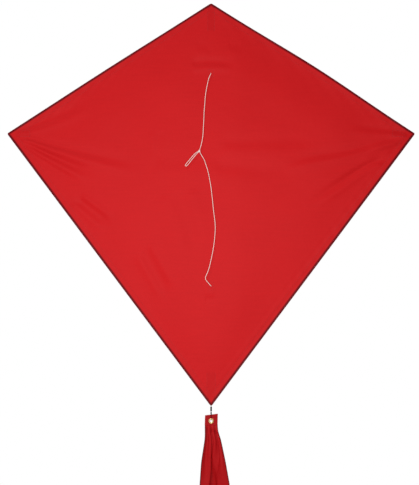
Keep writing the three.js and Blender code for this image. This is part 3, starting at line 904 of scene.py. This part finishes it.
def arm_sleeve():
    """The fitting's flexible sleeve: a bellows neck at the fold, then a socket for the rod."""
    root_r = 3.2
    lip_r = root_r + 0.3
    solid_z = 4.5
    length = 26.0
    root = turns(6, 0, math.pi / 2)
    profile = [(root_r * math.sin(turn), -root_r * math.cos(turn)) for turn in root]
    for ring_z in (4, 6.5, 9):
        profile += [(root_r, ring_z - 0.7), (root_r + 0.25, ring_z), (root_r, ring_z + 0.7)]
    profile += [(root_r, length - 1.6), (lip_r, length - 1.2), (lip_r, length - 0.3)]
    profile += [(root_r, length), (BORE_R + 0.2, length), (BORE_R, length - 0.3)]
    return turned(profile + [(BORE_R, solid_z), (0, solid_z)], 32)


def centre_moulding():
    """The fitting: a sleeve on the spine, side bosses for the arms and a pad with a flat back."""
    high = box_mm("centre_fitting")[1]
    half = high.z
    sleeve_r = 4.0
    boss_r = 3.3
    pad_width = 12
    pad_height = 24
    profile = [(BORE_R, -half), (sleeve_r, -half), (sleeve_r, half), (BORE_R, half)]
    bm = moved(turned(profile, 40, closed=True), at(0, SPAR_Y, 0))
    for side in SIDES:
        inner = sleeve_r - 0.8
        boss = turned([(0, inner), (boss_r, inner), (boss_r, high.x), (0, high.x)], 32)
        turn = Matrix.Rotation(side * math.pi / 2, 4, "Y")
        join_into(bm, moved(boss, at(0, SPAR_Y, 0) @ turn))
    pad_low = SPAR_Y + BORE_R + 0.6
    size = Matrix.Diagonal((pad_width, high.y - pad_low, pad_height, 1))
    bmesh.ops.create_cube(bm, size=1, matrix=at(0, (high.y + pad_low) / 2, 0) @ size)
    made = finished(bm, "centre_cross", VINYL, "frame", "centre_fitting")
    remesh = made.modifiers.new("moulded_whole", "REMESH")
    remesh.mode = "VOXEL"
    remesh.voxel_size = 0.3 * MM
    remesh.use_smooth_shade = True
    ease = made.modifiers.new("moulded_corners", "SMOOTH")
    ease.iterations = 3
    ease.factor = 0.5


def frame_parts():
    rod_low, rod_high = box_mm("spine_rod")
    spine = moved(rod(rod_high.z - rod_low.z), at(0, SPAR_Y, rod_low.z))
    finished(spine, "spine", ROD_ALONG_Z, "frame", "spine_rod")
    upper = moved(rod_cap(), at(0, SPAR_Y, box_mm("nose_cap")[1].z))
    finished(upper, "nose_end_cap", VINYL, "frame", "nose_cap")
    turn = Matrix.Rotation(math.pi, 4, "Y")
    lower = moved(rod_cap(), at(0, SPAR_Y, box_mm("foot_cap")[0].z) @ turn)
    finished(lower, "foot_end_cap", VINYL, "frame", "foot_cap")
    centre_moulding()
    inner_end = 4.8
    reach = SPREADER_SIZE.x / math.cos(DIHEDRAL)
    cap_end = inner_end + reach + CAP_END + 0.3
    for side, name in SIDES.items():
        body = name + "_wing"
        bm = moved(rod(reach), along_wing(side, inner_end))
        finished(bm, name + "_spreader_rod", ROD_ALONG_X, body, name + "_spreader")
        bm = moved(rod_cap(), along_wing(side, cap_end))
        finished(bm, name + "_tip_end_cap", VINYL, body, name + "_tip_cap")
        bm = moved(arm_sleeve(), along_wing(side))
        finished(bm, name + "_flexible_arm", VINYL, body, name + "_arm")


# --- pockets and patches -----------------------------------------------------------------------

POCKET_FLAT = -4.45  # the flat sewn edges, from the rod's axis
HUMP_R = 3.65


def pocket_section(half):
    """Half of a pocket's section from its sewn edge to the crown over the rod, as (x, y)."""
    section = [(half, POCKET_FLAT), (half - 0.8, POCKET_FLAT), (HUMP_R + 1.4, POCKET_FLAT)]
    section += [(HUMP_R + 0.5, POCKET_FLAT + 0.5), (HUMP_R + 0.1, POCKET_FLAT + 1.6)]
    for turn in turns(6, 0, math.pi / 2):
        section.append((HUMP_R * math.cos(turn), HUMP_R * math.sin(turn) * 1.02 - 0.05))
    return section


def pocket_shell(half, length):
    """A cloth pocket that opens downwards, sewn flat at both sides and across its top."""
    right = pocket_section(half)
    section = right + [(-x, y) for x, y in reversed(right[:-1])]
    steps = 26
    bm = bmesh.new()
    line = [bm.verts.new((x, y, 0)) for x, y in section]
    edges = [bm.edges.new(pair) for pair in zip(line, line[1:])]
    rows = [line]
    for _ in range(steps):
        made = bmesh.ops.extrude_edge_only(bm, edges=edges)["geom"]
        edges = [g for g in made if isinstance(g, bmesh.types.BMEdge)]
        edges = [e for e in edges if all(v in made for v in e.verts)]
        rows.append([v for v in made if isinstance(v, bmesh.types.BMVert)])
    closing = 4.0
    for row, verts in enumerate(rows):
        share = row / steps
        down = share**1.4 * length
        hump = math.sqrt(max(0.02, 1 - (1 - min(down / closing, 1)) ** 2))
        for vert in verts:
            lift = vert.co.y - POCKET_FLAT
            wrinkle = 0.12 * math.sin(down * 0.9 + vert.co.x * 1.7) * min(lift, 1)
            vert.co.y = POCKET_FLAT + lift * hump + wrinkle
            vert.co.z = -down
    bmesh.ops.remove_doubles(bm, verts=bm.verts, dist=1e-3)
    bmesh.ops.recalc_face_normals(bm, faces=bm.faces)
    return bm


def follow_cloth(bm, lean):
    """Lets the sewn edges of a pocket, which leans back at an angle, lie on the cloth's creases."""
    places = np.array([v.co for v in bm.verts], float)
    out = (np.abs(places[:, 0]) - HINGE.x) / math.cos(lean)
    flat = SPAR_Y + POCKET_FLAT / math.cos(lean) + out * math.sin(lean)
    hold = np.exp(-np.maximum(places[:, 1] - flat - 0.4, 0))
    shift = hold * (sail_y(places[:, 0], places[:, 2]) + 0.62 - flat)
    for vert, move in zip(bm.verts, shift):
        vert.co.y += move


def sew_pocket(bm, name, lean, body):
    follow_cloth(bm, lean)
    made = finished(bm, name + "_sleeve", POCKET_CLOTH, body, name + "_pocket")
    thicken(made, 0.55)


def pockets():
    over = Matrix.Rotation(math.pi, 4, "Y")
    low, high = NOSE_POCKET
    bm = moved(pocket_shell(high.x, high.z - low.z), at(0, SPAR_Y, high.z))
    sew_pocket(bm, "nose", 0, "frame")
    low, high = FOOT_POCKET
    bm = moved(pocket_shell(high.x, high.z - low.z), at(0, SPAR_Y, low.z) @ over)
    sew_pocket(bm, "foot", 0, "frame")
    low, high = TIP_POCKET
    length = (high.x - low.x) / math.cos(DIHEDRAL)
    end = (high.x - HINGE.x) / math.cos(DIHEDRAL) + 0.3
    for side, name in SIDES.items():
        bm = moved(tip_shell(high.z, length), along_wing(side, end))
        sew_pocket(bm, name + "_tip", DIHEDRAL, name + "_wing")


def tip_shell(half, length):
    """A pocket for a wing tip, narrower towards the tip, where the sail is less deep."""
    bm = pocket_shell(half, length)
    for vert in bm.verts:
        taper = 0.9 + 0.1 * min(1, -vert.co.z / length * 2)
        if abs(vert.co.x) > HUMP_R + 1:
            vert.co.x *= taper
    return bm


def ring_plate(outline, hole_z, hole_r, rings):
    """A flat plate in X and Z between an outline and a round hole on the Z axis, in rings of faces."""
    start = math.atan2(outline[0][1] - hole_z, outline[0][0])
    angles = turns(len(outline), start, start + 2 * math.pi)[:-1]
    bm = bmesh.new()
    outer = [bm.verts.new((x, 0, z)) for x, z in outline]
    inner = [
        bm.verts.new((hole_r * math.cos(turn), 0, hole_z + hole_r * math.sin(turn))) for turn in angles
    ]
    loops = []
    for loop in (outer, inner):
        loops += [bm.edges.new((a, b)) for a, b in zip(loop, loop[1:] + loop[:1])]
    bmesh.ops.bridge_loops(bm, edges=loops)
    spokes = [e for e in bm.edges if e not in set(loops)]
    bmesh.ops.subdivide_edges(bm, edges=spokes, cuts=rings, use_grid_fill=True)
    face_front(bm)
    return bm


def rounded_outline(corners, radius, side_points):
    """Points round a shape whose corners, given in turn, are rounded."""
    steps = 6
    points = []
    for i, corner in enumerate(corners):
        here = Vector(corner)
        after_corner = Vector(corners[(i + 1) % len(corners)])
        before = (Vector(corners[i - 1]) - here).normalized()
        after = (after_corner - here).normalized()
        first = here + before * radius
        last = here + after * radius
        for j in range(steps + 1):
            t = j / steps
            points.append((1 - t) ** 2 * first + 2 * t * (1 - t) * here + t * t * last)
        arrive = after_corner - after * radius
        for j in range(1, side_points + 1):
            points.append(last.lerp(arrive, j / (side_points + 1)))
    return [(p.x, p.y) for p in points]


def patches():
    inset = 1.6  # edge of a patch to its stitching
    for name, tie_z in (("upper", UPPER_TIE_Z), ("lower", LOWER_TIE_Z)):
        low, high = box_mm(name + "_patch")
        corners = [(high.x, high.z), (low.x, high.z), (low.x, low.z), (high.x, low.z)]
        bm = ring_plate(rounded_outline(corners, 1.2, 4), tie_z, 0.75, rings=4)
        bmesh.ops.translate(bm, vec=(0, CLOTH / 2 + 0.3, 0), verts=bm.verts)
        place_on_sail(bm)
        made = finished(bm, name + "_tie_patch", POCKET_CLOTH, "frame", name + "_patch")
        thicken(made, 0.4)
        bm = bmesh.new()
        seam = [(x - math.copysign(inset, x), z - math.copysign(inset, z - tie_z)) for x, z in corners]
        add_stitches(bm, seam + seam[:1], front=True, pitch=2.4)
        finished(bm, name + "_patch_stitching", POCKET_THREAD, "frame")


# --- the tail tab, the snap swivel and the eyelet ----------------------------------------------

LINK_Y = joint_mm("link_swing").y
WIRE_R = 0.45
RING_R = 2.4
TAB_HALF = 2.6
TAB_HOLE_R = 1.1
EYELET_BORE_R = 2.4
LINK_PLACE = at(0, LINK_Y, 0)


def tail_tab():
    low, high = box_mm("tail_tab")
    hole_z = low.z + TAB_HALF
    top, shoulder = high.z, high.z - 0.1
    sides_z = (high.z - 3.2, hole_z + 2.4)
    outline = [(TAB_HALF, shoulder), (1.0, top), (-1.0, top), (-TAB_HALF, shoulder)]
    outline += [(-TAB_HALF, z) for z in sides_z]
    for turn in turns(12, math.pi, 2 * math.pi):
        outline.append((TAB_HALF * math.cos(turn), hole_z + TAB_HALF * math.sin(turn)))
    outline += [(TAB_HALF, z) for z in reversed(sides_z)]
    bm = moved(ring_plate(outline, hole_z, TAB_HOLE_R, rings=2), LINK_PLACE)
    made = finished(bm, "foot_tab", POCKET_CLOTH, "frame", "tail_tab")
    thicken(made, 1.1, worn=0.25)
    radius = TAB_HOLE_R + 0.28
    stitch = Matrix.Diagonal((0.34, 0.12, 0.12, 1))
    bm = bmesh.new()
    for turn in turns(24)[:-1]:
        for face_y in (LINK_Y - 0.58, LINK_Y + 0.58):
            spot = at(radius * math.cos(turn), face_y, hole_z + radius * math.sin(turn))
            place = spot @ Matrix.Rotation(-turn, 4, "Y") @ stitch
            bmesh.ops.create_uvsphere(bm, u_segments=6, v_segments=4, radius=1, matrix=place)
    finished(bm, "foot_tab_stitching", POCKET_THREAD, "frame")


def swivel_barrel():
    low, high = box_mm("swivel_barrel")
    hole = WIRE_R + 0.3
    body_r = 1.5
    cavity_r = 1.1
    lower = [(cavity_r, low.z + 0.8), (hole, low.z + 0.8), (hole, low.z + 0.12), (hole + 0.1, low.z)]
    lower += [(1.0, low.z), (1.28, low.z + 0.14), (1.42, low.z + 0.5), (body_r, low.z + 1.0)]
    upper = [(r, low.z + high.z - z) for r, z in reversed(lower)]
    grooves = []
    for z in (low.z + 2.4, high.z - 2.4):
        grooves += [(body_r, z - 0.3), (body_r - 0.16, z), (body_r, z + 0.3)]
    bm = moved(turned(lower + grooves + upper, 36, closed=True), LINK_PLACE)
    finished(bm, "swivel_body", BLACK_NICKEL, "snap", "swivel_barrel")


def disc(radius, first, last, segments):
    """A short round bar on the Z axis between two heights."""
    low, high = min(first, last), max(first, last)
    return turned([(0, low), (radius, low), (radius, high), (0, high)], segments)


def wire_neck(bm, first, last, head):
    """A wire neck along Z between two heights, with a round head at its last end."""
    join_into(bm, disc(WIRE_R, first, last, 16))
    join_into(bm, disc(0.8, last, last + head, 20))


def swivel_eye():
    ring_z = box_mm("swivel_eye")[1].z - RING_R - WIRE_R
    barrel_top = box_mm("swivel_barrel")[1].z
    ring = [(0, RING_R * math.cos(turn), ring_z + RING_R * math.sin(turn)) for turn in turns(24)[:-1]]
    bm = swept(ring, WIRE_R, closed=True)
    wire_neck(bm, ring_z - RING_R, barrel_top - 1.1, -0.6)
    top = ring_z - RING_R - 0.2
    collar = [(0, top), (0.62, top - 0.1), (0.62, top - 0.5), (0, top - 0.6)]
    join_into(bm, turned(collar, 20))
    finished(moved(bm, LINK_PLACE), "swivel_ring", BLACK_NICKEL, "link_eye", "swivel_eye")


def clasp(top, inner):
    """The folded sheet that holds the wire's two legs, open towards the hook."""
    sheet = 0.7
    half_width = 1.2
    strip = [(-inner, top - 4.3), (-inner, top - 1.1), (-inner * 0.9, top - 0.5)]
    strip += [(-inner * 0.6, top - sheet / 2), (inner * 0.6, top - sheet / 2)]
    strip += [(inner * 0.9, top - 0.5), (inner, top - 1.1), (inner, top - 2.6)]
    bm = bmesh.new()
    line = [bm.verts.new((-half_width, y, z)) for y, z in strip]
    edges = [bm.edges.new(pair) for pair in zip(line, line[1:])]
    grown = bmesh.ops.extrude_edge_only(bm, edges=edges)["geom"]
    new_verts = [g for g in grown if isinstance(g, bmesh.types.BMVert)]
    bmesh.ops.translate(bm, vec=(2 * half_width, 0, 0), verts=new_verts)
    bmesh.ops.recalc_face_normals(bm, faces=bm.faces)
    bmesh.ops.solidify(bm, geom=list(bm.faces), thickness=sheet)
    bmesh.ops.recalc_face_normals(bm, faces=bm.faces)
    soften(bm, 0.12)
    return bm


def snap():
    low, high = box_mm("snap_hook")
    gate_low, gate_high = box_mm("snap_gate")
    barrel_low = box_mm("swivel_barrel")[0].z
    clasp_top = barrel_low - 1.0
    leg_y = (high.y - low.y) / 2 - WIRE_R
    bend_z = low.z + WIRE_R + leg_y
    route = [(0, -leg_y, clasp_top - 3.2), (0, -leg_y, (clasp_top + bend_z) / 2 - 1)]
    for turn in turns(12, 0, math.pi):
        route.append((0, -leg_y * math.cos(turn), bend_z - leg_y * math.sin(turn)))
    route.append((0, leg_y, gate_low.z - 0.6))
    bm = swept(route, WIRE_R)
    join_into(bm, clasp(clasp_top, leg_y + WIRE_R - 0.35))
    wire_neck(bm, clasp_top - 0.4, barrel_low + 1.1, 0.6)
    finished(moved(bm, LINK_PLACE), "snap_wire", BLACK_NICKEL, "snap", "snap_hook")
    # The spring arm starts a little below its own box, so that it runs on to the bend.
    heights = (gate_low.z - 0.3, gate_low.z + 1.5, gate_high.z - 1.5, gate_high.z)
    bm = moved(swept([(0, leg_y, z) for z in heights], WIRE_R), LINK_PLACE)
    finished(bm, "snap_spring_arm", BLACK_NICKEL, "gate", "snap_gate")


def eyelet():
    """The brass eyelet and its washer. Returns the height of their middle."""
    low, high = box_mm("tail_eyelet")
    washer_low, washer_high = box_mm("eyelet_washer")
    middle_z = (low.z + high.z) / 2
    flange_r = (high.z - low.z) / 2
    place = LINK_PLACE @ at(0, 0, middle_z) @ Matrix.Rotation(math.pi / 2, 4, "X")
    front = LINK_Y - low.y
    back = high.y - LINK_Y
    sheet = 0.6
    edge = 0.15  # of the flange, before it rolls over
    wall = EYELET_BORE_R + 0.4
    under = front - sheet
    middle_r = (flange_r + EYELET_BORE_R) / 2
    half_r = (flange_r - EYELET_BORE_R) / 2
    profile = [(EYELET_BORE_R, -back), (wall, -back), (wall, under)]
    profile += [(flange_r - 0.2, under), (flange_r, under + edge)]
    for turn in turns(8, 0.06 * math.pi, 0.9224 * math.pi):
        rise = (sheet - edge) * math.sin(turn)
        profile.append((middle_r + half_r * math.cos(turn), under + edge + rise))
    bm = moved(turned(profile, 48, closed=True), place)
    finished(bm, "brass_eyelet", BRASS, "tail", "tail_eyelet")
    inner = wall + 0.2
    rear = LINK_Y - washer_high.y
    fore = LINK_Y - washer_low.y
    profile = [(inner, rear), (inner + 0.5, rear), (flange_r - 0.3, rear + 0.12)]
    profile += [(flange_r, rear + 0.3), (flange_r, fore), (inner, fore)]
    bm = moved(turned(profile, 48, closed=True), place)
    finished(bm, "brass_washer", BRASS, "tail", "eyelet_washer")
    return middle_z


# --- the tail ----------------------------------------------------------------------------------

TAIL_WIDTH = 78.0  # of the cloth, laid flat
HEADER_HALF = 12.0
HEADER_DROP = 8.0
HEADER_THICK = 1.1
# The streamer from its top down: drop below the eyelet, middle, and width as it hangs.
HANG = [
    (8.3, 0.2, 24),
    (20, 0.4, 24.4),
    (31, 3.0, 29),
    (77, 4.4, 46),
    (118, 6.7, 56),
    (220, 8, 75),
    (360, 5, 76),
    (560, -3, 76),
    (760, -6, 76),
    (988, -3, 76),
]


def pleat(width, s, tight):
    """One box pleat, open and set a little to the left, which closes into small gathers where the
    cloth is held tight. Returns x and y along the cloth, both from zero, so that it spans a width."""
    step = s[1] - s[0]
    turned_back = max(6.5, (TAIL_WIDTH - width) / 8)
    gap = 0.34 * width * (1 - tight)
    first = min((width - gap) / 2 + turned_back, TAIL_WIDTH / 2 - 1.1 * turned_back)
    aside = 0.07 * width * (1 - tight)
    second = TAIL_WIDTH - first - aside
    first -= aside
    softness = 0.8 + 4.0 * (1 - tight)

    def reversed_stretch(middle):
        leave = np.tanh((s - middle + turned_back) / softness)
        return (leave - np.tanh((s - middle - turned_back) / softness)) / 2

    gathers = np.sin(2 * math.pi * 3.5 * s / TAIL_WIDTH)
    bump = (reversed_stretch(first) - reversed_stretch(second)) * (1 - tight) + gathers * tight
    low, high = 0.0, math.pi
    for _ in range(40):
        most = (low + high) / 2
        if np.cos(most * bump).sum() * step > width:
            low = most
        else:
            high = most
    x = np.concatenate([[0], np.cumsum(np.cos(most * bump))[:-1] * step])
    y = np.concatenate([[0], np.cumsum(np.sin(most * bump))[:-1] * step])
    return x, y


def tail_rows(rows, columns, eyelet_z):
    """Every point of the hanging cloth, row by row."""
    drops = np.linspace(HANG[0][0] - 1.4, HANG[-1][0], rows)
    known = np.array(HANG, float)
    middles = np.interp(drops, known[:, 0], known[:, 1])
    widths = np.interp(drops, known[:, 0], known[:, 2])
    kernel = np.hanning(15)
    kernel /= kernel.sum()

    def eased(values):
        padded = np.concatenate([np.full(7, values[0]), values, np.full(7, values[-1])])
        return np.convolve(padded, kernel, "valid")

    s = np.linspace(0, TAIL_WIDTH, columns)
    points = []
    for drop, middle, width in zip(drops, eased(middles), eased(widths)):
        tight = float(np.clip((60 - width) / 34, 0, 1))
        x, y = pleat(width, s, tight)
        x = (x - x.min()) * width / (x.max() - x.min())
        loose = float(smoothstep(np.array((drop - 14) / 120)))
        y = y - (0.3 + 0.7 * loose)
        wave = 2.6 * np.sin(s * 0.115 + drop * 0.009) * np.sin(drop * 0.013 + 0.5)
        gather = 0.5 * np.sin(s * 0.55 + 0.4) * math.exp(-drop / 45)
        sway = 3.0 * math.sin(drop * 0.0062) * loose
        y = y * (0.3 + 0.5 * loose) + wave * loose + gather * (0.3 + loose) + sway
        above = (14.5 + 0.6 * (x + middle - width / 2) - drop) / 4.5
        y = y - 2.6 * above * np.exp(-above * above / 2) * smoothstep((x - width / 2 + 3) / 4)
        tucked = float(smoothstep(np.array((drop - HANG[0][0]) / 9)))
        y = y * (0.12 + 0.88 * tucked)  # the top edge is held inside the header
        lean = 1.6 * math.sin(drop * 0.004 + 1.0) * (s / TAIL_WIDTH - 0.5)
        z = eyelet_z - drop - lean * loose
        for i in range(columns):
            points.append(((middle - width / 2 + x[i]), LINK_Y + y[i], z[i]))
    return points


def streamer(eyelet_z):
    rows = 420
    columns = 64
    bm = bmesh.new()
    bmesh.ops.create_grid(bm, x_segments=columns - 1, y_segments=rows - 1, size=0.5)
    length = HANG[-1][0] - HANG[0][0]
    places = tail_rows(rows, columns, eyelet_z)
    layer = bm.loops.layers.uv.new("flat")
    spots = {}
    for vert in bm.verts:
        column = round((vert.co.x + 0.5) * (columns - 1))
        row = round((0.5 - vert.co.y) * (rows - 1))
        spots[vert] = (column, row)
    for face in bm.faces:
        for loop in face.loops:
            column, row = spots[loop.vert]
            u = TAIL_WIDTH * MM * column / (columns - 1)
            loop[layer].uv = (u, -length * MM * row / (rows - 1))
    layers = []
    for vert in bm.verts:
        column, row = spots[vert]
        side = min(column, columns - 1 - column) * TAIL_WIDTH / (columns - 1)
        end = (rows - 1 - row) * length / (rows - 1)
        # Painted shade: the hemmed sides and end darken as doubled cloth, and the outer 3 mm as the
        # shaded rolled edge.
        hem_shade = 0.5 * float(max(1 - side / 5, 1 - end / 11, 0) > 0.02)
        layers.append(hem_shade + (2 - hem_shade) * min(1.0, max(0.0, (3.0 - side) / 2.0)))
        vert.co = Vector(places[row * columns + column])
    face_front(bm)
    made = finished(bm, "tail_cloth", TAIL_CLOTH, "tail", "tail_streamer")
    mark_layer_shade(made, layers)
    thicken(made, CLOTH)


def header(eyelet_z):
    lower_z = eyelet_z - HEADER_DROP - 0.2
    corners = [(12.5, eyelet_z + 13.6), (-11.3, eyelet_z + 10.6)]
    corners += [(-HEADER_HALF, lower_z), (HEADER_HALF, lower_z)]
    outline = rounded_outline(corners, 0.9, 7)
    bm = ring_plate(outline, eyelet_z, EYELET_BORE_R + 0.6, rings=5)
    for vert in bm.verts:
        off = math.hypot(vert.co.x, vert.co.z - eyelet_z)
        free = min(1, max(0, (off - 5) / 6))
        vert.co.y = LINK_Y + 0.35 * free * math.sin(vert.co.x * 0.5 + 0.6) * math.cos(vert.co.z * 0.3)
    made = finished(bm, "tail_header_cloth", HEADER_CLOTH, "tail", "tail_header")
    thicken(made, HEADER_THICK, worn=0.3, worn_steps=3)


def tail():
    eyelet_z = eyelet()
    header(eyelet_z)
    streamer(eyelet_z)


# --- the whole kite ----------------------------------------------------------------------------

camera()
bridle()
studio()
floor()
sail()
frame_parts()
pockets()
patches()
tail_tab()
swivel_barrel()
swivel_eye()
snap()
tail()
